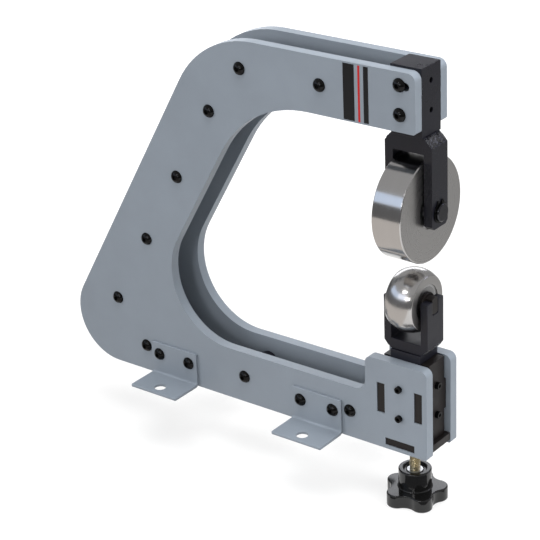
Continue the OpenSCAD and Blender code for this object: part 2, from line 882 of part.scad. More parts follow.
// The open slot that the anvil's axle drops into, in y and z
module axle_slot() {
    low = anvil_z - axle_d / 2 - seat_gap;
    high = post_fork_high + over;
    rounded_outline([[-flat_w / 2, low, slot_corner_r], [flat_w / 2, low, slot_corner_r],
        [flat_w / 2, high, over / 2], [-flat_w / 2, high, over / 2]]);
}

module post_fork() {
    color(black_paint) on_post() difference() {
        post_fork_solid();
        translate([-post_fork_w / 2 - over, 0, 0]) rotate([90, 0, 90])
            linear_extrude(post_fork_w + 2 * over) axle_slot();
    }
}

module post_welds() {
    color(black_paint) on_post() difference() {
        weld_beads(post_fork_low, 1, post_fork_bead_r, post_fork_d);
        post_bar();
        post_fork_solid();
    }
}

module anvil_axle() {
    inside = post_fork_w / 2 - post_fork_leg - seat_gap;
    half = post_fork_w / 2 - 0.5;
    color(black_oxide) on_anvil_axle() intersection() {
        x_rod(0, 0, axle_d / 2, -half, half);
        union() {
            block([-inside, -axle_d, -axle_d], [inside, axle_d, axle_d]);
            block([-half - over, -flat_w / 2 + seat_gap, -axle_d],
                [half + over, flat_w / 2 - seat_gap, axle_d]);
        }
    }
}

module anvil_axle_collars() {
    color(black_oxide) on_anvil_axle() collars(anvil_w, post_fork_w - 2 * post_fork_leg);
}

module anvil_bearing_inner_rings() {
    color(bright_steel) on_anvil_axle() both_ends(anvil_w) inner_race();
}

module anvil_bearing_sleeve() {
    color(dull_steel) on_anvil_axle() sleeve(anvil_w);
}

module anvil() {
    color(bright_steel) on_anvil_axle() difference() {
        rotate([0, 90, 0]) rotate_extrude($fn = 144) intersection() {
            translate([0, -anvil_w / 2]) square([anvil_d, anvil_w]);
            translate([anvil_d / 2 - anvil_crown_r, 0]) circle(r = anvil_crown_r, $fn = 144);
        }
        wheel_bore(anvil_w);
    }
}

module anvil_bearing_outer_rings() {
    color(bright_steel) on_anvil_axle() both_ends(anvil_w) outer_race();
}

module anvil_bearing_shields() {
    color(dull_steel) on_anvil_axle() shields(anvil_w);
}

module anvil_bearing_balls() {
    color(bright_steel) on_anvil_axle() both_ends(anvil_w) ball_ring();
}

module anvil_bearing_cages() {
    color(dull_steel) on_anvil_axle() both_ends(anvil_w) cage();
}

// Adjusting knob

module adjusting_screw() {
    shoulder = post_low - face_gap;
    low = star_top;
    color(yellow_zinc) on_post() {
        translate([0, 0, low]) cylinder(d = spindle_d, h = shoulder - low);
        translate([0, 0, shoulder - over]) cylinder(d = nose_d, h = nose_l + over);
    }
}

// Five tips joined by hollows, each hollow an arc that touches the tips on both sides
module star_outline() {
    tip = knob_d / 2 - lobe_r;
    half = 180 / knob_lobes;
    hollow_r = (pow(tip, 2) + pow(knob_waist_r, 2) - 2 * tip * knob_waist_r * cos(half)
        - pow(lobe_r, 2)) / (2 * (lobe_r - knob_waist_r + tip * cos(half)));
    hollow_at = knob_waist_r + hollow_r;
    difference() {
        union() {
            for (i = [0:knob_lobes - 1]) rotate(i * 2 * half) translate([tip, 0]) circle(r = lobe_r);
            polygon([for (i = [0:knob_lobes - 1], s = [-1, 1])
                let (a = i * 2 * half, h = a + s * half,
                    centre = tip * [cos(a), sin(a)],
                    away = unit(hollow_at * [cos(h), sin(h)] - centre))
                centre + lobe_r * away]);
        }
        for (i = [0:knob_lobes - 1])
            rotate((2 * i + 1) * half) translate([hollow_at, 0])
                circle(r = hollow_r + overlap, $fn = 180);
    }
}

module star_knob() {
    color(black_oxide) on_post() difference() {
        union() {
            translate([0, 0, star_low]) linear_extrude(knob_t) rotate(knob_turn) star_outline();
            translate([0, 0, star_top - over]) cylinder(d = hub_d, h = hub_h + over);
        }
        translate([0, 0, knob_top - recess_h]) cylinder(d = recess_d, h = recess_h + over);
        translate([0, 0, star_top]) cylinder(d = insert_d + 2 * seat_gap, h = hub_h + over);
    }
}

module knob_insert() {
    top = knob_top - recess_h + 1;
    color(bright_steel) on_post() difference() {
        translate([0, 0, star_top]) cylinder(d = insert_d, h = top - star_top);
        translate([0, 0, star_top - over])
            cylinder(r = spindle_d / 2 + seat_gap, h = top - star_top + 2 * over);
    }
}

near_side_plate();
far_side_plate();
spacer_bars();
near_spacer_screws();
far_spacer_screws();
near_rear_foot();
near_front_foot();
far_rear_foot();
far_front_foot();
near_foot_screws();
far_foot_screws();
rear_guide_plate();
front_guide_plate();
guide_base_bar();
side_set_screws();
front_set_screws();
yoke_stem();
yoke_fork();
yoke_welds();
near_yoke_screws();
far_yoke_screws();
yoke_grub_screws();
upper_axle();
upper_axle_circlips();
upper_axle_collars();
upper_bearing_inner_rings();
upper_bearing_sleeve();
upper_wheel();
upper_bearing_outer_rings();
upper_bearing_shields();
upper_bearing_balls();
upper_bearing_cages();
post();
post_fork();
post_welds();
anvil_axle();
anvil_axle_collars();
anvil_bearing_inner_rings();
anvil_bearing_sleeve();
anvil();
anvil_bearing_outer_rings();
anvil_bearing_shields();
anvil_bearing_balls();
anvil_bearing_cages();
adjusting_screw();
star_knob();
knob_insert();
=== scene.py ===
"""Dresses a bench-top English wheel: paint, ground and polished steel, screw threads and welds.

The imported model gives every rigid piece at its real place. This script gives each piece its
finish, and makes the pieces whose form is finer than the model's: the thread of the adjusting
screw, the weld beads and the bands on the upper arm. Lengths are in metres, and angles in degrees.
"""

import logging
import math
from dataclasses import dataclass, field
from enum import Enum

import bmesh
import bpy
from mathutils import Matrix, Vector, noise


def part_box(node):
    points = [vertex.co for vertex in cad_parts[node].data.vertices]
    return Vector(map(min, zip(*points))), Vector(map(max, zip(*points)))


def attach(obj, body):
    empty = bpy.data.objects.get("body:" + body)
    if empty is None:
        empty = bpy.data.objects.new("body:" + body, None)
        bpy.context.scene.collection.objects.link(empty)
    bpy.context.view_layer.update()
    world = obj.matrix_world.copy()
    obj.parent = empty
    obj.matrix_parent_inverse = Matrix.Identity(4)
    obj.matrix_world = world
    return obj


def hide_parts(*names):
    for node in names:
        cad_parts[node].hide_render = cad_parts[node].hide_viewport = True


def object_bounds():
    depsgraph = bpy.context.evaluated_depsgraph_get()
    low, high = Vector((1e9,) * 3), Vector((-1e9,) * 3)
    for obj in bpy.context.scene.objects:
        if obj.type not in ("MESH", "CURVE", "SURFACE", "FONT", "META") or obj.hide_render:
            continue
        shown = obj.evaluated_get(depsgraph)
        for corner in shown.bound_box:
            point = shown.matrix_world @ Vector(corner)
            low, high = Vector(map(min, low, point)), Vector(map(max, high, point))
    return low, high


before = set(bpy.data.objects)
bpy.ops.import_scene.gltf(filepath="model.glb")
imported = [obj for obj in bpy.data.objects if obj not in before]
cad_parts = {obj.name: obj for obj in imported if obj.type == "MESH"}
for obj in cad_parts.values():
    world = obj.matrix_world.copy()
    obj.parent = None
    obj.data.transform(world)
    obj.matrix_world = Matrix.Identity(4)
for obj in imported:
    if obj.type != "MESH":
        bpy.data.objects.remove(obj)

log = logging.getLogger("english_wheel")

MM = 0.001
CAD_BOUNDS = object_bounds()

Point = tuple[float, float, float]
Face = tuple[int, ...]
Socket = bpy.types.NodeSocket
Feed = Socket | float | tuple[float, ...]
Outputs = bpy.types.bpy_prop_collection

WHITE = (1.0, 1.0, 1.0, 1.0)


def grey(level: float) -> Point:
    """A colour whose three parts are equal."""
    return (level, level, level)


class Grain(Enum):
    """How cutting marks run on bare metal: 1 is in rings about an axle, 0 in no direction."""

    TURNED = 1.0
    NONE = 0.0


# Node trees

NOISE_MEAN = 0.5


class Tree:
    """Adds nodes to a node tree and links them, in short calls."""

    def __init__(self, tree: bpy.types.NodeTree) -> None:
        """Starts on an emptied tree.

        Args:
            tree: The node tree of a material, a world or a group.
        """
        self.tree = tree
        tree.nodes.clear()

    def add(self, kind: str, inputs: dict | None = None, **settings) -> bpy.types.Node:
        """Adds one node.

        Args:
            kind: The node's type name.
            inputs: Socket names or numbers, each with a value or a socket to link from.
            settings: The node's own attributes.

        Returns:
            The new node.
        """
        node = self.tree.nodes.new(kind)
        for name, value in settings.items():
            setattr(node, name, value)
        for name, value in (inputs or {}).items():
            self.feed(node.inputs[name], value)
        return node

    def feed(self, socket: Socket, value: Feed) -> None:
        """Links a socket to an output, or sets its value.

        Args:
            socket: The input socket.
            value: An output socket, or a plain value.
        """
        if isinstance(value, bpy.types.NodeSocket):
            self.tree.links.new(value, socket)
        else:
            socket.default_value = value

    def math(self, operation: str, a: Feed, b: Feed = 0.0) -> Socket:
        """Adds a Math node.

        Args:
            operation: What it works out.
            a: Its first number.
            b: Its second number, where the operation has one.

        Returns:
            Its output.
        """
        return self.add("ShaderNodeMath", {0: a, 1: b}, operation=operation).outputs[0]

    def vector(self, operation: str, a: Feed, b: Feed = (0.0, 0.0, 0.0)) -> Socket:
        """Adds a Vector Math node.

        Args:
            operation: What it works out.
            a: Its first vector.
            b: Its second vector, where the operation has one.

        Returns:
            Its output, a number for a length and a vector otherwise.
        """
        node = self.add("ShaderNodeVectorMath", {0: a, 1: b}, operation=operation)
        return node.outputs["Value" if operation == "LENGTH" else "Vector"]

    def scaled(self, value: Feed, factor: Feed) -> Socket:
        """Multiplies a colour or a vector by a number.

        Args:
            value: The colour or vector.
            factor: The number.

        Returns:
            The product.
        """
        node = self.add("ShaderNodeVectorMath", operation="SCALE")
        self.feed(node.inputs[0], value)
        self.feed(node.inputs["Scale"], factor)
        return node.outputs[0]

    def remap(self, value: Socket, low: float, high: float, to_low: Feed, to_high: Feed) -> Socket:
        """Adds a clamped Map Range node.

        Args:
            value: The number to map.
            low: Where its range starts.
            high: Where its range ends.
            to_low: What the start becomes.
            to_high: What the end becomes.

        Returns:
            The mapped number.
        """
        inputs = {"Value": value, "From Min": low, "From Max": high, "To Min": to_low,
                  "To Max": to_high}
        return self.add("ShaderNodeMapRange", inputs).outputs[0]

    def noise(self, where: Socket, scale: Feed, detail: float = 2.0, rough: float = 0.5) -> Socket:
        """Adds a Noise Texture node.

        Args:
            where: The place that it is read at.
            scale: Its repeats per metre.
            detail: How many finer layers it has.
            rough: How strong each finer layer is.

        Returns:
            Its value, from 0 to 1.
        """
        inputs = {"Vector": where, "Scale": scale, "Detail": detail, "Roughness": rough}
        return self.add("ShaderNodeTexNoise", inputs).outputs[0]

    def stray(self, value: Socket, amount: Feed) -> Socket:
        """How far a noise value strays from its mean, times an amount."""
        return self.math("MULTIPLY", self.math("SUBTRACT", value, NOISE_MEAN), amount)


class Group:
    """A shader node group with named inputs and outputs, built once and placed many times."""

    def __init__(self, name: str, inputs: dict, outputs: dict) -> None:
        """Makes the group's sockets.

        Args:
            name: The group's name.
            inputs: Each input's name with its default, a number, a vector or a colour.
            outputs: Each output's name with its socket type.
        """
        self.tree = bpy.data.node_groups.new(name, "ShaderNodeTree")
        kinds = {1: "NodeSocketFloat", 3: "NodeSocketVector", 4: "NodeSocketColor"}
        for label, value in inputs.items():
            size = len(value) if isinstance(value, tuple) else 1
            socket = self.tree.interface.new_socket(label, in_out="INPUT", socket_type=kinds[size])
            socket.default_value = value
        for label, kind in outputs.items():
            self.tree.interface.new_socket(label, in_out="OUTPUT", socket_type=kind)
        self.inside = Tree(self.tree)
        self.into = self.inside.add("NodeGroupInput").outputs
        self.out = self.inside.add("NodeGroupOutput").inputs

    def place(self, tree: Tree, inputs: dict) -> Outputs:
        """Places the group in a material.

        Args:
            tree: The material's tree.
            inputs: Values or sockets for the group's inputs.

        Returns:
            The placed node's outputs.
        """
        return tree.add("ShaderNodeGroup", inputs, node_tree=self.tree).outputs


SKIN_OUTPUTS = {"Color": "NodeSocketColor", "Roughness": "NodeSocketFloat",
                "Height": "NodeSocketFloat"}
CLOUD_SCALE = 14.0
CLOUD_ROUGHNESS = 1.5
SPECK_SCALE = 2600.0


def peel_group() -> Group:
    """The skin of sprayed or baked paint: a fine ripple, with clouds and specks in the colour.

    Returns:
        The group, with outputs Color, Roughness and Height.
    """
    group = Group(
        "Paint skin",
        {"Color": (0.5, 0.5, 0.5, 1.0), "Roughness": 0.4, "Ripple Size": 0.0012, "Clouds": 0.06,
         "Specks": 0.03},
        SKIN_OUTPUTS,
    )
    tree, into = group.inside, group.into
    where = tree.add("ShaderNodeTexCoord").outputs["Object"]
    scale = tree.math("DIVIDE", 1.0, into["Ripple Size"])
    ripple = tree.noise(where, scale, rough=0.45)
    clouds = tree.noise(where, CLOUD_SCALE, detail=4.0, rough=0.6)
    specks = tree.noise(where, SPECK_SCALE, detail=1.0)
    shade = tree.stray(clouds, into["Clouds"])
    grit = tree.stray(specks, into["Specks"])
    level = tree.math("ADD", 1.0, tree.math("MULTIPLY", tree.math("ADD", shade, grit), 2.0))
    tree.feed(group.out["Color"], tree.scaled(into["Color"], level))
    rough = tree.math("ADD", into["Roughness"], tree.math("MULTIPLY", shade, CLOUD_ROUGHNESS))
    tree.feed(group.out["Roughness"], rough)
    tree.feed(group.out["Height"], ripple)
    return group


# A wheel's side is where the normal's X part passes from the first value to the second.
SIDE_LEAN = (0.86, 0.94)
BROAD_SCALE = 0.13
FINE_SHARE = 0.6
SMUDGE_SCALE = 45.0
STREAK_ROUGHNESS = 0.25


def lines_group() -> Group:
    """Cutting marks: rings about an axle along X, or marks that run in no direction.

    A wheel's two sides, whose normals run along X, can be duller and darker than its rim.

    Returns:
        The group, with outputs Color, Roughness and Height.
    """
    group = Group(
        "Cutting marks",
        {"Color": (0.6, 0.6, 0.6, 1.0), "Roughness": 0.25, "Axle": (0.0, 0.0, 0.0), "Rings": 1.0,
         "Pitch": 0.0004, "Shade": 0.15, "Smudge": 0.08, "Side Shade": 1.0,
         "Side Roughness": 0.3},
        SKIN_OUTPUTS,
    )
    tree, into = group.inside, group.into
    coordinates = tree.add("ShaderNodeTexCoord").outputs
    where = coordinates["Object"]
    lean = tree.add("ShaderNodeSeparateXYZ", {0: coordinates["Normal"]}).outputs[0]
    side = tree.remap(tree.math("ABSOLUTE", lean), *SIDE_LEAN, 0.0, 1.0)
    offset = tree.vector("SUBTRACT", where, into["Axle"])
    split = tree.add("ShaderNodeSeparateXYZ", {0: offset}).outputs
    flat = tree.add("ShaderNodeCombineXYZ", {1: split[1], 2: split[2]}).outputs[0]
    radius = tree.vector("LENGTH", flat)
    ring = tree.add("ShaderNodeCombineXYZ", {0: split[0], 1: radius}).outputs[0]
    mixer = tree.add("ShaderNodeMix", data_type="VECTOR")
    tree.feed(mixer.inputs["Factor"], into["Rings"])
    tree.feed(mixer.inputs[4], offset)
    tree.feed(mixer.inputs[5], ring)
    marks = mixer.outputs[1]
    scale = tree.math("DIVIDE", 1.0, into["Pitch"])
    fine = tree.noise(marks, scale, detail=3.0, rough=0.6)
    broad = tree.noise(marks, tree.math("MULTIPLY", scale, BROAD_SCALE))
    smudge = tree.noise(where, SMUDGE_SCALE, detail=3.0, rough=0.6)
    level = tree.math("ADD", tree.math("MULTIPLY", fine, FINE_SHARE),
                      tree.math("MULTIPLY", broad, 1.0 - FINE_SHARE))
    shade = tree.math("ADD", 1.0, tree.stray(level, into["Shade"]))
    side_shade = tree.remap(side, 0.0, 1.0, 1.0, into["Side Shade"])
    tinted = tree.scaled(into["Color"], tree.math("MULTIPLY", shade, side_shade))
    tree.feed(group.out["Color"], tinted)
    soil = tree.stray(smudge, into["Smudge"])
    streak = tree.stray(level, STREAK_ROUGHNESS)
    base = tree.remap(side, 0.0, 1.0, into["Roughness"], into["Side Roughness"])
    tree.feed(group.out["Roughness"], tree.math("ADD", base, tree.math("ADD", soil, streak)))
    tree.feed(group.out["Height"], level)
    return group


# Finishes


@dataclass(frozen=True)
class Finish:
    """One surface finish, in plain values.

    Attributes:
        name: The material's name.
        color: The base colour.
        roughness: How dull the base is.
        metallic: 1 for bare metal, 0 for paint and plastic.
        specular: How strongly the base mirrors.
        coat: The strength of a clear gloss above it.
        coat_roughness: How dull that gloss is.
        bump: The strength of the fine relief.
        bump_depth: The depth of the fine relief.
    """

    name: str
    color: Point
    roughness: float
    metallic: float = 0.0
    specular: float = 0.5
    coat: float = 0.0
    coat_roughness: float = 0.1
    bump: float = 0.05
    bump_depth: float = 0.05 * MM

    def rgba(self) -> tuple[float, float, float, float]:
        """The colour with full alpha."""
        return (*self.color, 1.0)

    def shader(self, tree: Tree, skin: Outputs) -> None:
        """Adds the shader and the material's output, fed by a placed group.

        Args:
            tree: The material's tree.
            skin: The outputs of a placed group, Color, Roughness and Height.
        """
        bump = tree.add("ShaderNodeBump", {
            "Strength": self.bump, "Distance": self.bump_depth, "Height": skin["Height"]})
        shader = tree.add("ShaderNodeBsdfPrincipled", {
            "Base Color": skin["Color"], "Roughness": skin["Roughness"],
            "Metallic": self.metallic, "Specular IOR Level": self.specular,
            "Coat Weight": self.coat, "Coat Roughness": self.coat_roughness,
            "Normal": bump.outputs[0]})
        tree.add("ShaderNodeOutputMaterial", {"Surface": shader.outputs[0]})

    def blank(self) -> tuple[bpy.types.Material, Tree]:
        """Makes the empty material.

        Returns:
            The material and its node tree.
        """
        made = bpy.data.materials.new(self.name)
        made.use_nodes = True
        return made, Tree(made.node_tree)

    def material(self) -> bpy.types.Material:
        """Makes the Blender material. Each kind of finish does this its own way."""
        raise NotImplementedError

    def look(self) -> bpy.types.Material:
        """The finish's material, made the first time that it is asked for."""
        return bpy.data.materials.get(self.name) or self.material()


@dataclass(frozen=True)
class Paint(Finish):
    """Sprayed paint, powder coat, oxide or moulded plastic.

    Attributes:
        ripple: The size of the ripple in its surface.
        clouds: How far broad patches stray from the colour.
        specks: How far fine specks stray from it.
    """

    ripple: float = 1.2 * MM
    clouds: float = 0.06
    specks: float = 0.03

    def material(self) -> bpy.types.Material:
        """Makes the material from the paint skin group.

        Returns:
            The material.
        """
        made, tree = self.blank()
        self.shader(tree, PAINT_SKIN.place(tree, {
            "Color": self.rgba(), "Roughness": self.roughness, "Ripple Size": self.ripple,
            "Clouds": self.clouds, "Specks": self.specks}))
        return made


@dataclass(frozen=True)
class Metal(Finish):
    """Bare or plated metal with cutting marks.

    Attributes:
        grain: How the marks run.
        axle: A point of the axle that turned marks run about.
        pitch: The size of the marks.
        shade: How far the marks stray from the colour.
        smudge: How far broad smudges stray from the roughness.
        side_shade: What the colour is multiplied by on a wheel's sides.
        side_roughness: How dull a wheel's sides are.
    """

    metallic: float = 1.0
    grain: Grain = Grain.NONE
    axle: Point = (0.0, 0.0, 0.0)
    pitch: float = 0.4 * MM
    shade: float = 0.15
    smudge: float = 0.08
    side_shade: float = 1.0
    side_roughness: float = 0.3

    def material(self) -> bpy.types.Material:
        """Makes the material from the cutting marks group.

        Returns:
            The material.
        """
        made, tree = self.blank()
        self.shader(tree, CUTTING_MARKS.place(tree, {
            "Color": self.rgba(), "Roughness": self.roughness, "Axle": self.axle,
            "Rings": self.grain.value, "Pitch": self.pitch, "Shade": self.shade,
            "Smudge": self.smudge, "Side Shade": self.side_shade,
            "Side Roughness": self.side_roughness}))
        return made


PAINT_SKIN = peel_group()
CUTTING_MARKS = lines_group()


def middle(node: str) -> Vector:
    """The middle of a CAD node's box at rest."""
    low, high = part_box(node)
    return (low + high) / 2


UPPER_AXLE = tuple(middle("upper_axle"))
ANVIL_AXLE = tuple(middle("anvil_axle"))
KNOB_FOOT = tuple(middle("star_knob"))[:2]

GREY_PAINT = Paint(
    "grey paint", (0.238, 0.272, 0.315), 0.44, bump=0.14, specular=0.4, clouds=0.12)
BLACK_PAINT = Paint(
    "black paint", (0.0085, 0.0086, 0.0130), 0.33, bump=0.8, specular=0.27, clouds=0.5,
    ripple=0.8 * MM)
WELD_PAINT = Paint(
    "painted weld", (0.004, 0.004, 0.007), 0.14, bump=1.0, bump_depth=1.8 * MM, specular=0.6,
    coat=0.8, coat_roughness=0.05, ripple=2.4 * MM)
BAR_OXIDE = Paint(
    "oxide", (0.0095, 0.0078, 0.0075), 0.42, bump=0.4, specular=0.25, clouds=0.6,
    ripple=0.5 * MM)
SCREW_OXIDE = Paint(
    "black screws", grey(0.002), 0.12, bump=0.05, clouds=0.1, specular=0.10, coat=0.15,
    coat_roughness=0.03)
KNOB_PLASTIC = Paint(
    "knob plastic", grey(0.006), 0.11, bump=0.04, clouds=0.1, ripple=6 * MM)
BAND_FILM = Paint("band film", (0.006, 0.006, 0.007), 0.34, bump=0.02, specular=0.25)
RED_FILM = Paint("red film", (0.50, 0.010, 0.010), 0.34, bump=0.02, specular=0.3)
WHEEL_STEEL = Metal(
    "ground steel", (0.44, 0.43, 0.42), 0.15, grain=Grain.TURNED, axle=UPPER_AXLE,
    pitch=0.35 * MM, shade=0.20, smudge=0.12, bump=0.02, side_shade=0.98, side_roughness=0.30)
ANVIL_STEEL = Metal(
    "polished steel", (0.44, 0.43, 0.42), 0.21, grain=Grain.TURNED, axle=ANVIL_AXLE,
    pitch=0.5 * MM, shade=0.10, smudge=0.10, bump=0.01, side_shade=0.9, side_roughness=0.36)
AXLE_STEEL = Metal(
    "axle steel", (0.05, 0.05, 0.055), 0.22, grain=Grain.TURNED, axle=UPPER_AXLE,
    pitch=0.5 * MM, bump=0.08)
BEARING_STEEL = Metal("bearing steel", grey(0.45), 0.2, bump=0.02)
PRESSED_STEEL = Metal("pressed steel", grey(0.30), 0.35, bump=0.05)
YELLOW_ZINC = Metal(
    "yellow zinc", (0.60, 0.52, 0.34), 0.25, shade=0.4, smudge=0.2, bump=0.05)
WHITE_ZINC = Metal("white zinc", (0.86, 0.87, 0.88), 0.42, shade=0.1, bump=0.05)


# Meshes

JOIN_GAP = 1e-6
FLAT_ANGLE = 0.4
FLAT_WEIGHT = 100


def new_piece(name: str, verts: list, faces: list[Face], finish: Finish | None = None,
              smooth: bool = True) -> bpy.types.Object:
    """Makes an object from points and faces and links it to the scene.

    Args:
        name: The piece's name.
        verts: Its points, in metres.
        faces: Tuples of point numbers.
        finish: Its finish, or None where the caller gives it a material of its own.
        smooth: Whether its faces are shaded smooth.

    Returns:
        The new object.
    """
    mesh = bpy.data.meshes.new(name)
    mesh.from_pydata([tuple(v) for v in verts], [], faces)
    mesh.validate()
    shape = bmesh.new()
    shape.from_mesh(mesh)
    bmesh.ops.recalc_face_normals(shape, faces=shape.faces)
    shape.to_mesh(mesh)
    shape.free()
    mesh.polygons.foreach_set("use_smooth", [smooth] * len(mesh.polygons))
    if finish:
        mesh.materials.append(finish.look())
    piece = bpy.data.objects.new(name, mesh)
    bpy.context.scene.collection.objects.link(piece)
    return piece


def tube_faces(rows: int, columns: int) -> list[Face]:
    """Faces of a closed tube: rings of points in order, with a cap at each end.

    Args:
        rows: How many rings there are.
        columns: How many points a ring has.

    Returns:
        The faces as tuples of point numbers.
    """
    faces = [tuple(reversed(range(columns)))]
    for row in range(rows - 1):
        here, after = row * columns, (row + 1) * columns
        for column in range(columns):
            turn = (column + 1) % columns
            faces.append((here + column, here + turn, after + turn, after + column))
    faces.append(tuple(range((rows - 1) * columns, rows * columns)))
    return faces


def dress(finish: Finish, *nodes: str) -> None:
    """Gives CAD nodes a finish.

    Args:
        finish: The finish.
        nodes: The nodes' names.
    """
    for node in nodes:
        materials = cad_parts[node].data.materials
        materials.clear()
        materials.append(finish.look())


def soften(width: float, *nodes: str, segments: int = 2, angle: float = 35.0) -> None:
    """Rounds the sharp edges of CAD nodes with modifiers, which leave their meshes as they are.

    Args:
        width: The width of the rounding.
        nodes: The nodes' names.
        segments: The steps of the rounding.
        angle: The least angle of an edge that is rounded.
    """
    for node in nodes:
        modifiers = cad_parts[node].modifiers
        modifiers.new("join edges", "WELD").merge_threshold = JOIN_GAP
        planes = modifiers.new("join flat faces", "DECIMATE")
        planes.decimate_type = "DISSOLVE"
        planes.angle_limit = math.radians(FLAT_ANGLE)
        bevel = modifiers.new("round edges", "BEVEL")
        bevel.width = width
        bevel.segments = segments
        bevel.limit_method = "ANGLE"
        bevel.angle_limit = math.radians(angle)
        bevel.use_clamp_overlap = True
        modifiers.new("keep faces flat", "WEIGHTED_NORMAL").weight = FLAT_WEIGHT


# Studio

# The cloths lie just above the floor, and the mat just above them.
CLOTH_LEVEL = -0.0722
MAT_LEVEL = -0.0721
WALL_FOOT = -0.07
CEILING_LEVEL = 1.18


@dataclass(frozen=True)
class Card:
    """A glowing panel that only mirrors see, swept about an upright line.

    Attributes:
        name: The panel's name.
        azimuths: Where the sweep starts and ends.
        color: The colour of its glow, which can be brighter than white.
        centre: Where the upright line stands.
        step: The angle between two of its edges.
    """

    name: str
    azimuths: tuple[float, float]
    color: Point
    centre: tuple[float, float] = field(default=(0.1, 0.0), kw_only=True)
    step: float = field(default=5.0, kw_only=True)

    def edge(self) -> tuple[tuple[float, float], tuple[float, float]]:
        """The ends of the swept edge, each as a radius and a height. Each kind has its own."""
        raise NotImplementedError

    def build(self) -> None:
        """Makes the panel."""
        start, end = self.azimuths
        steps = max(2, round(abs(end - start) / self.step))
        verts = []
        for number in range(steps + 1):
            share = number / steps
            turn = math.radians(start * (1 - share) + end * share)
            for radius, height in self.edge():
                verts.append((self.centre[0] + radius * math.cos(turn),
                              self.centre[1] + radius * math.sin(turn), height))
        faces = [(2 * i, 2 * i + 2, 2 * i + 3, 2 * i + 1) for i in range(steps)]
        self.show(new_piece(self.name, verts, faces))

    def show(self, panel: bpy.types.Object) -> None:
        """Makes a panel glow in its colour, for mirrors alone.

        Args:
            panel: The panel's object.
        """
        made = bpy.data.materials.new(self.name)
        made.use_nodes = True
        tree = Tree(made.node_tree)
        glow = tree.add("ShaderNodeEmission", {"Color": (*self.color, 1.0), "Strength": 1.0})
        tree.add("ShaderNodeOutputMaterial", {"Surface": glow.outputs[0]})
        panel.data.materials.append(made)
        for ray in ("camera", "diffuse", "transmission", "volume_scatter", "shadow"):
            setattr(panel, f"visible_{ray}", False)


@dataclass(frozen=True)
class Wall(Card):
    """An upright panel, curved round the object: a soft box, a wall or a gap between them.

    Attributes:
        heights: Its lower and upper height.
        reach: Its radius.
    """

    heights: tuple[float, float]
    reach: float = 1.4

    def edge(self) -> tuple[tuple[float, float], tuple[float, float]]:
        """An upright edge."""
        return (self.reach, self.heights[0]), (self.reach, self.heights[1])


@dataclass(frozen=True)
class Sheet(Card):
    """A level panel, a sector of a ring: a ceiling, a soft box in it or a cloth on the floor.

    Attributes:
        height: Its height.
        radii: Its inner and outer radius.
    """

    height: float
    radii: tuple[float, float] = (0.01, 1.4)

    def edge(self) -> tuple[tuple[float, float], tuple[float, float]]:
        """A level edge."""
        return (self.radii[0], self.height), (self.radii[1], self.height)


@dataclass(frozen=True)
class Lamp:
    """A rectangular soft lamp, which mirrors don't show, as the cards stand for it there.

    Attributes:
        name: The lamp's name.
        place: Where it stands.
        aim: The point that it faces.
        size: Its width and height.
        power: Its power in watts.
        spread: The angle of its cone.
    """

    name: str
    place: Point
    aim: Point
    size: tuple[float, float]
    power: float
    spread: float = 180.0

    def build(self) -> None:
        """Makes the lamp."""
        data = bpy.data.lights.new(self.name, "AREA")
        data.shape = "RECTANGLE"
        data.size, data.size_y = self.size
        data.energy = self.power
        data.spread = math.radians(self.spread)
        lamp = bpy.data.objects.new(self.name, data)
        ahead = Vector(self.aim) - Vector(self.place)
        lamp.location = self.place
        lamp.rotation_euler = ahead.to_track_quat("-Z", "Y").to_euler()
        lamp.visible_glossy = False
        bpy.context.scene.collection.objects.link(lamp)


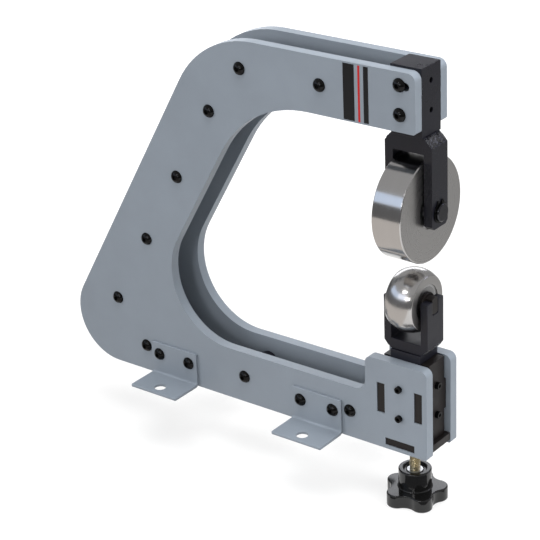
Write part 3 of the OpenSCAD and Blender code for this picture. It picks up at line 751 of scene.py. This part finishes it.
@dataclass
class Studio:
    """Camera, floor, world, lamps and cards, fitted to the photograph's view.

    Attributes:
        lens: The camera's focal length in millimetres.
        sensor: The width of its sensor in millimetres.
        azimuth: How far it looks to the left of the Y axis.
        elevation: How far it looks down.
        roll: How far it leans about its own line of sight.
        place: Where it stands.
        near_clip: The distance at which it starts to see.
        floor_drop: The room between the floor and the knob.
        floor_size: The floor's length and width.
        floor_grey: The floor's colour, which sends light up to the object.
        near_glow: How bright the floor itself looks near the object. It is white farther away.
        glow_fade: The two distances between which it becomes white.
        ambient: The world's strength as a light on the object.
        backdrop: The world's strength as the background and in mirrors.
        lamps: The soft lamps.
        cards: The panels that mirrors see.
    """

    lens: float = 128.61
    sensor: float = 36.0
    azimuth: float = 38.124
    elevation: float = 24.757
    roll: float = -2.516
    place: Point = (1.24614, -1.56168, 1.07755)
    near_clip: float = 0.05
    floor_drop: float = 0.5 * MM
    floor_size: float = 8.0
    floor_grey: float = 0.34
    near_glow: float = 0.70
    glow_fade: tuple[float, float] = (0.4, 1.6)
    ambient: float = 0.06
    backdrop: float = 1.0
    lamps: tuple[Lamp, ...] = (
        Lamp("overhead", (0.2, -0.1, 1.9), (0.1, 0.0, 0.2), (1.4, 1.4), 36.5),
        Lamp("near left", (-2.0, -1.9, 1.0), (0.0, 0.0, 0.2), (1.4, 1.4), 38.0),
        Lamp("front", (0.35, -2.3, 1.15), (0.0, 0.0, 0.2), (0.6, 0.6), 14.5),
        Lamp("near right", (0.85, -0.75, 0.12), (0.27, 0.0, 0.05), (0.3, 0.3), 0.4, spread=70.0),
        Lamp("right", (2.0, 0.3, 0.9), (0.2, 0.0, 0.2), (0.8, 1.4), 29.0),
        Lamp("back", (-0.4, 2.3, 1.1), (0.1, 0.0, 0.2), (1.4, 1.4), 18.0),
    )
    cards: tuple[Card, ...] = (
        Wall("near_wall", (150, 345), (0.20, 0.20, 0.205), (WALL_FOOT, 0.62)),
        Wall("left_soft_box", (195, 247), (1.12, 1.32, 1.66), (0.64, 1.16)),
        Wall("near_soft_box", (247, 285), (1.9, 2.05, 2.35), (0.64, 1.16)),
        Wall("glint_box", (287, 302), grey(22.0), (0.71, 0.81), 1.35),
        Wall("left_gap", (131, 195), grey(0.45), (0.855, CEILING_LEVEL)),
        Wall("left_low_gap", (150, 195), grey(0.40), (0.62, 0.855)),
        Wall("right_gap", (285, 345), grey(0.40), (0.62, CEILING_LEVEL)),
        Wall("back_wall", (-15, 150), grey(0.40), (WALL_FOOT, 0.45)),
        Wall("back_soft_box", (100, 150), (2.9, 2.95, 3.1), (0.31, 0.62), 1.0),
        Wall("back_upper_wall", (100, 150), grey(0.22), (0.45, 0.855)),
        Wall("upper_back", (116, 131), grey(0.10), (0.855, CEILING_LEVEL)),
        Wall("right_wall", (-15, 100), (0.45, 0.45, 0.46), (0.45, CEILING_LEVEL)),
        Wall("right_upper_wall", (100, 116), (0.45, 0.45, 0.46), (0.855, CEILING_LEVEL)),
        Wall("right_top_box", (46, 62), (3.4, 3.5, 4.6), (0.90, 1.17), 1.38),
        Sheet("near_top_box", (262, 288), grey(13.0), 1.175, (0.93, 1.06)),
        Sheet("ceiling", (0, 360), (0.55, 0.55, 0.56), CEILING_LEVEL),
        Sheet("near_cloth", (10, 100), (0.90, 0.89, 0.88), CLOTH_LEVEL, (0.25, 0.60)),
        Sheet("far_cloth", (10, 100), grey(0.51), CLOTH_LEVEL, (0.60, 1.4)),
        Sheet("paper", (150, 300), (0.92, 0.87, 0.83), CLOTH_LEVEL),
        Sheet("mat", (-120, 20), (0.16, 0.16, 0.17), MAT_LEVEL, (0.056, 0.115), centre=KNOB_FOOT),
    )

    def camera(self) -> None:
        """Places the camera where the photograph was taken."""
        azimuth, elevation = math.radians(self.azimuth), math.radians(self.elevation)
        roll = math.radians(self.roll)
        level = math.cos(elevation)
        ahead = Vector((-math.sin(azimuth) * level, math.cos(azimuth) * level,
                        -math.sin(elevation)))
        flat_right = Vector((math.cos(azimuth), math.sin(azimuth), 0.0))
        flat_up = flat_right.cross(ahead)
        right = math.cos(roll) * flat_right + math.sin(roll) * flat_up
        up = math.cos(roll) * flat_up - math.sin(roll) * flat_right
        turn = Matrix((right, up, -ahead)).transposed().to_4x4()
        data = bpy.data.cameras.new("camera")
        data.lens = self.lens
        data.sensor_width = self.sensor
        data.clip_start = self.near_clip
        data.dof.use_dof = False
        camera = bpy.data.objects.new("camera", data)
        camera.matrix_world = Matrix.Translation(self.place) @ turn
        bpy.context.scene.collection.objects.link(camera)
        bpy.context.scene.camera = camera

    def world(self) -> None:
        """A white surround for the camera and for reflections, and a faint light on the object."""
        world = bpy.data.worlds.new("studio")
        bpy.context.scene.world = world
        world.use_nodes = True
        tree = Tree(world.node_tree)
        strength = tree.remap(self.seen(tree), 0.0, 1.0, self.ambient, self.backdrop)
        back = tree.add("ShaderNodeBackground", {"Color": WHITE, "Strength": strength})
        tree.add("ShaderNodeOutputWorld", {"Surface": back.outputs[0]})

    @staticmethod
    def seen(tree: Tree) -> Socket:
        """Finds the rays that come from the camera, a mirror or glass.

        Args:
            tree: The tree that asks.

        Returns:
            One for such a ray, and zero for any other.
        """
        path = tree.add("ShaderNodeLightPath").outputs
        first = tree.math("MAXIMUM", path["Is Camera Ray"], path["Is Glossy Ray"])
        return tree.math("MAXIMUM", first, path["Is Transmission Ray"])

    def floor(self) -> None:
        """A plain pale floor just under the knob, white but for the shadow near the object."""
        low = CAD_BOUNDS[0][2] - self.floor_drop
        half = self.floor_size / 2
        corners = [(-half, -half, low), (half, -half, low), (half, half, low), (-half, half, low)]
        piece = new_piece("floor", corners, [(0, 1, 2, 3)], smooth=False)
        made = bpy.data.materials.new("floor")
        made.use_nodes = True
        tree = Tree(made.node_tree)
        away = tree.vector("LENGTH", tree.add("ShaderNodeTexCoord").outputs["Object"])
        level = tree.remap(away, *self.glow_fade, self.near_glow, 1.0)
        matte = tree.add("ShaderNodeBsdfDiffuse", {"Color": (*grey(self.floor_grey), 1.0)})
        glow = tree.add("ShaderNodeEmission", {
            "Color": WHITE, "Strength": tree.math("MULTIPLY", self.seen(tree), level)})
        both = tree.add("ShaderNodeAddShader", {0: matte.outputs[0], 1: glow.outputs[0]})
        tree.add("ShaderNodeOutputMaterial", {"Surface": both.outputs[0]})
        piece.data.materials.append(made)

    def build(self) -> None:
        """Makes the whole studio."""
        bpy.context.scene.view_settings.view_transform = "Standard"
        self.camera()
        self.world()
        self.floor()
        for fitting in (*self.lamps, *self.cards):
            fitting.build()
        log.info("studio: camera, floor, %d lamps, %d cards", len(self.lamps), len(self.cards))


# Sub-assemblies


@dataclass
class SideFrame:
    """The two side plates with their spacers, feet, screws and the bands on the upper arm.

    Attributes:
        edge_round: The rounding of the plates' edges.
        foot_round: The rounding of the feet's edges.
        screw_round: The rounding of the screws' and spacers' edges.
        band_thick: How far a band stands out of the plate.
        band_margin: The room between a band and the arm's long edges.
        arm_low: The height of the upper arm's lower edge.
        black_bands: Where each black band starts and ends along X.
        red_band: Where the red band starts and ends along X.
    """

    edge_round: float = 1.3 * MM
    foot_round: float = 0.5 * MM
    screw_round: float = 0.3 * MM
    band_thick: float = 0.12 * MM
    band_margin: float = 1.8 * MM
    arm_low: float = 0.377
    black_bands: tuple[tuple[float, float], ...] = ((0.150, 0.164), (0.1755, 0.1815))
    red_band: tuple[float, float] = (0.1685, 0.1710)

    def band(self, finish: Finish, low: float, high: float) -> None:
        """Lays a thin upright band of film on the near plate's upper arm.

        Args:
            finish: The film's finish.
            low: Its lower end along X.
            high: Its higher end along X.
        """
        plate_low, plate_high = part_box("near_side_plate")
        skin = plate_low.y
        foot, top = self.arm_low + self.band_margin, plate_high.z - self.band_margin
        outline = [(low, foot), (high, foot), (high, top), (low, top)]
        depths = (skin + self.band_thick, skin - self.band_thick)
        verts = [(x, y, z) for y in depths for x, z in outline]
        faces = tube_faces(len(depths), len(outline))
        film = new_piece(f"band_at_{low * 1000:.0f}", verts, faces, finish, smooth=False)
        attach(film, "frame")

    def build(self) -> None:
        """Dresses the frame's nodes and lays the bands."""
        plates = ("near_side_plate", "far_side_plate")
        feet = tuple(f"{side}_{end}_foot" for side in ("near", "far") for end in ("rear", "front"))
        screws = ("near_spacer_screws", "far_spacer_screws", "near_foot_screws",
                  "far_foot_screws")
        dress(GREY_PAINT, *plates, *feet)
        dress(BLACK_PAINT, "spacer_bars")
        dress(SCREW_OXIDE, *screws)
        soften(self.edge_round, *plates, segments=3)
        soften(self.foot_round, *feet)
        soften(self.screw_round, *screws, "spacer_bars")
        for low, high in self.black_bands:
            self.band(BAND_FILM, low, high)
        self.band(RED_FILM, *self.red_band)
        log.info("frame: plates, feet, spacers, screws and bands")


@dataclass
class Guide:
    """The two guide plates, the base bar and their set screws.

    Attributes:
        edge_round: The rounding of their edges.
    """

    edge_round: float = 0.4 * MM

    def build(self) -> None:
        """Dresses the guide's nodes."""
        bars = ("rear_guide_plate", "front_guide_plate", "guide_base_bar")
        screws = ("side_set_screws", "front_set_screws")
        dress(BAR_OXIDE, *bars)
        dress(SCREW_OXIDE, *screws)
        soften(self.edge_round, *bars, *screws)
        log.info("guide: plates, base bar and set screws")


@dataclass
class WeldBead:
    """A weld bead along Y that lies on a bevel, laid in overlapping scales and a little lumpy.

    Attributes:
        middle: The middle of the bead.
        length: Its length.
        across: The direction across it that lies in the bevel.
        outward: The direction out of the bevel.
        reach: Half its width.
        rise: Half its thickness.
        seed: The number that its lumps grow from.
        scale_length: The length of one scale.
        scale_bow: How far a scale's front bows, in scales.
        scale_rise: How far a scale's front stands above its back.
        scale_fall: How fast it falls off behind the front.
        lump_length: The length of a lump.
        lump_round: The bead's radius, in lumps.
        lump_rise: How far a lump stands out.
        core: The bead's size without its scales and lumps.
        wander: How far the bead strays from a straight line.
        wander_length: The length over which it strays.
        taper: The share of each half in which it narrows to its end.
        tip: Its size at the very end, as a share of its size elsewhere.
        step: The length between two rings of points.
        columns: How many points a ring has.
    """

    middle: Vector
    length: float
    across: Vector
    outward: Vector
    reach: float
    rise: float
    seed: int
    scale_length: float = 3.0 * MM
    scale_bow: float = 0.9
    scale_rise: float = 0.12
    scale_fall: float = 1.5
    lump_length: float = 2.4 * MM
    lump_round: float = 2.0
    lump_rise: float = 0.50
    core: float = 0.80
    wander: float = 0.25 * MM
    wander_length: float = 4 * MM
    taper: float = 0.1
    tip: float = 0.05
    step: float = 0.3 * MM
    columns: int = 24

    def size(self, y: float, turn: float) -> float:
        """The bead's size at a place on its skin, as a share of its reach and rise.

        Args:
            y: The place along the bead, from its middle.
            turn: The place round it, in radians.

        Returns:
            The size, without the narrowing at the ends.
        """
        scale = (y / self.scale_length + self.scale_bow * math.sin(turn)) % 1.0
        lump = noise.noise(Vector((self.seed + self.lump_round * math.cos(turn),
                                   y / self.lump_length, self.lump_round * math.sin(turn))))
        return (self.core + self.scale_rise * (1 - scale) ** self.scale_fall
                + self.lump_rise * lump)

    def build(self) -> tuple[list[Vector], list[Face]]:
        """Makes the bead's points and faces.

        Returns:
            Its points and its faces, as a closed tube.
        """
        rows = round(self.length / self.step) + 1
        verts = []
        for row in range(rows):
            share = 2 * row / (rows - 1) - 1
            y = share * self.length / 2
            end = max(0.0, (abs(share) - (1 - self.taper)) / self.taper)
            full = math.sqrt(max(self.tip ** 2, 1 - end * end))
            stray = noise.noise(Vector((self.seed, y / self.wander_length, 0.0))) * self.wander
            for column in range(self.columns):
                turn = 2 * math.pi * column / self.columns
                size = full * self.size(y, turn)
                verts.append(self.middle + Vector((0.0, y, 0.0))
                             + self.across * (size * self.reach * math.cos(turn) + stray)
                             + self.outward * (size * self.rise * math.sin(turn)))
        return verts, tube_faces(rows, self.columns)


BEAD_REACH = 0.68
BEAD_RISE = 0.20


def weld_pair(name: str, node: str, bar: str, fork: str, body: str, dip: int, seed: int) -> None:
    """Puts two lumpy beads on a fork's bevels, in the place of a CAD node's two plain ones.

    Args:
        name: The piece's name.
        node: The CAD node that the beads stand for.
        bar: The CAD node that the fork is welded to.
        fork: The CAD node of the fork.
        body: The body that they ride on.
        dip: 1 where the bevels look up, -1 where they look down.
        seed: The number that their lumps grow from.
    """
    low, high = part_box(node)
    bar_low, bar_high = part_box(bar)
    fork_low, fork_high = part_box(fork)
    bevel = (fork_high.x - fork_low.x - bar_high.x + bar_low.x) / 2
    level = (fork_high.z if dip > 0 else fork_low.z) - dip * bevel / 2
    verts, faces = [], []
    for side, x in ((-1, fork_low.x), (1, fork_high.x)):
        bead = WeldBead(
            middle=Vector((x - side * bevel / 2, (low.y + high.y) / 2, level)),
            length=high.y - low.y,
            across=Vector((side, 0.0, -dip)).normalized(),
            outward=Vector((side, 0.0, dip)).normalized(),
            reach=BEAD_REACH * bevel, rise=BEAD_RISE * bevel, seed=seed + side)
        points, quads = bead.build()
        faces += [tuple(i + len(verts) for i in quad) for quad in quads]
        verts += points
    piece = new_piece(name, verts, faces, WELD_PAINT)
    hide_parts(node)
    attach(piece, body)


@dataclass
class Yoke:
    """The tilting yoke: its stem, its fork, the upper wheel's axle and the welds.

    Attributes:
        edge_round: The rounding of the stem's and fork's edges.
        axle_round: The rounding of the axle's and screws' edges. Rings and circlips have half.
    """

    edge_round: float = 0.7 * MM
    axle_round: float = 0.3 * MM

    def build(self) -> None:
        """Dresses the yoke's nodes and lays its weld beads."""
        dress(BLACK_PAINT, "yoke_stem", "yoke_fork")
        dress(SCREW_OXIDE, "near_yoke_screws", "far_yoke_screws", "yoke_grub_screws",
              "upper_axle_circlips")
        dress(AXLE_STEEL, "upper_axle", "upper_axle_collars", "upper_bearing_sleeve")
        dress(BEARING_STEEL, "upper_bearing_inner_rings")
        soften(self.edge_round, "yoke_stem", "yoke_fork")
        soften(self.axle_round, "upper_axle", "near_yoke_screws", "far_yoke_screws")
        soften(self.axle_round / 2, "upper_axle_circlips", "upper_bearing_inner_rings")
        weld_pair("yoke_weld_beads", "yoke_welds", "yoke_stem", "yoke_fork", "yoke", 1, 7)
        log.info("yoke: stem, fork, axle and weld beads")


@dataclass
class UpperWheel:
    """The flat upper wheel and what turns with it.

    Attributes:
        rim_round: The rounding of the rims' edges.
    """

    rim_round: float = 0.3 * MM

    def build(self) -> None:
        """Dresses the wheel's nodes."""
        dress(WHEEL_STEEL, "upper_wheel")
        dress(BEARING_STEEL, "upper_bearing_outer_rings", "upper_bearing_balls")
        dress(PRESSED_STEEL, "upper_bearing_shields", "upper_bearing_cages")
        soften(self.rim_round, "upper_wheel", "upper_bearing_outer_rings", angle=30.0)
        log.info("upper wheel: rim, sides and bearings")


@dataclass
class Post:
    """The post with its open fork and the anvil's axle.

    Attributes:
        edge_round: The rounding of the post's and fork's edges.
        axle_round: The rounding of the axle's and collars' edges.
    """

    edge_round: float = 0.7 * MM
    axle_round: float = 0.4 * MM

    def build(self) -> None:
        """Dresses the post's nodes and lays its weld beads."""
        dress(BLACK_PAINT, "post", "post_fork")
        dress(BAR_OXIDE, "anvil_axle", "anvil_axle_collars")
        dress(AXLE_STEEL, "anvil_bearing_sleeve")
        dress(BEARING_STEEL, "anvil_bearing_inner_rings")
        soften(self.edge_round, "post", "post_fork")
        soften(self.axle_round, "anvil_axle", "anvil_axle_collars")
        weld_pair("post_weld_beads", "post_welds", "post", "post_fork", "post_set", -1, 23)
        log.info("post: bar, fork, axle and weld beads")


@dataclass
class Anvil:
    """The crowned anvil wheel and what turns with it.

    Attributes:
        rim_round: The rounding of the rims' edges.
    """

    rim_round: float = 0.5 * MM

    def build(self) -> None:
        """Dresses the anvil's nodes."""
        dress(ANVIL_STEEL, "anvil")
        dress(BEARING_STEEL, "anvil_bearing_outer_rings", "anvil_bearing_balls")
        dress(PRESSED_STEEL, "anvil_bearing_shields", "anvil_bearing_cages")
        soften(self.rim_round, "anvil", "anvil_bearing_outer_rings", angle=30.0)
        log.info("anvil: crown, sides and bearings")


@dataclass
class Adjuster:
    """The adjusting screw with its cut thread, the star knob and the knob's insert.

    Attributes:
        pitch: The thread's pitch.
        depth: The thread's depth.
        root_share: The share of a half pitch that the flat root takes.
        crest_share: The share of a half pitch where the crest starts.
        chamfer: The narrowing of the thread at the shoulder.
        nose_length: The length of the plain nose above the shoulder.
        nose_radius: The nose's radius.
        nose_chamfer: The narrowing at the nose's end.
        columns: How many points a ring of the thread has.
        steps: How many rings one pitch has.
        knob_round: The rounding of the knob's edges.
    """

    pitch: float = 1.75 * MM
    depth: float = 1.05 * MM
    root_share: float = 0.24
    crest_share: float = 0.86
    chamfer: float = 1.2 * MM
    nose_length: float = 8.0 * MM
    nose_radius: float = 4.0 * MM
    nose_chamfer: float = 0.6 * MM
    columns: int = 40
    steps: int = 8
    knob_round: float = 1.5 * MM

    def cut(self, phase: float) -> float:
        """How deep the thread is cut at a place in its pitch.

        Args:
            phase: The place, where 0 and 1 are the crest's middle and 0.5 is the root's.

        Returns:
            The depth, from 0 at the crest to 1 at the root.
        """
        away = abs(phase - 0.5) * 2
        share = (self.crest_share - away) / (self.crest_share - self.root_share)
        return min(1.0, max(0.0, share))

    def thread_ring(self, z: float, crest: float, shoulder: float) -> list[tuple[float, float]]:
        """One ring of the thread.

        Args:
            z: The ring's height.
            crest: The radius of the thread's crest.
            shoulder: The height of the shoulder that the thread ends at.

        Returns:
            A height and a radius for each column.
        """
        limit = crest - max(0.0, self.chamfer - (shoulder - z))
        phases = [(z / self.pitch - column / self.columns) % 1.0 for column in range(self.columns)]
        return [(z, min(limit, crest - self.depth * self.cut(phase))) for phase in phases]

    def screw(self) -> None:
        """Makes the threaded screw in the place of the plain one."""
        low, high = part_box("adjusting_screw")
        x, y = (low.x + high.x) / 2, (low.y + high.y) / 2
        crest = (high.x - low.x) / 2
        shoulder = high.z - self.nose_length
        rows = round((shoulder - low.z) / self.pitch * self.steps)
        rings = [self.thread_ring(low.z + (shoulder - low.z) * row / rows, crest, shoulder)
                 for row in range(rows + 1)]
        nose = ((shoulder, self.nose_radius), (high.z - self.nose_chamfer, self.nose_radius),
                (high.z, self.nose_radius - self.nose_chamfer))
        rings += [[point] * self.columns for point in nose]
        turns = [2 * math.pi * column / self.columns for column in range(self.columns)]
        verts = [(x + r * math.cos(turn), y + r * math.sin(turn), z)
                 for ring in rings for turn, (z, r) in zip(turns, ring)]
        faces = tube_faces(len(rings), self.columns)
        piece = new_piece("threaded_screw", verts, faces, YELLOW_ZINC)
        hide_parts("adjusting_screw")
        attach(piece, "adjuster")

    def build(self) -> None:
        """Makes the screw and dresses the knob."""
        self.screw()
        dress(WHITE_ZINC, "knob_insert")
        dress(KNOB_PLASTIC, "star_knob")
        soften(self.knob_round, "star_knob", segments=4)
        log.info("adjuster: thread, knob and insert")


def main() -> None:
    """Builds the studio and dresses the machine."""
    logging.basicConfig(level=logging.INFO, format="%(name)s: %(message)s")
    for part in (Studio(), SideFrame(), Guide(), Yoke(), UpperWheel(), Post(), Anvil(), Adjuster()):
        part.build()


if __name__ == "__main__":
    main()
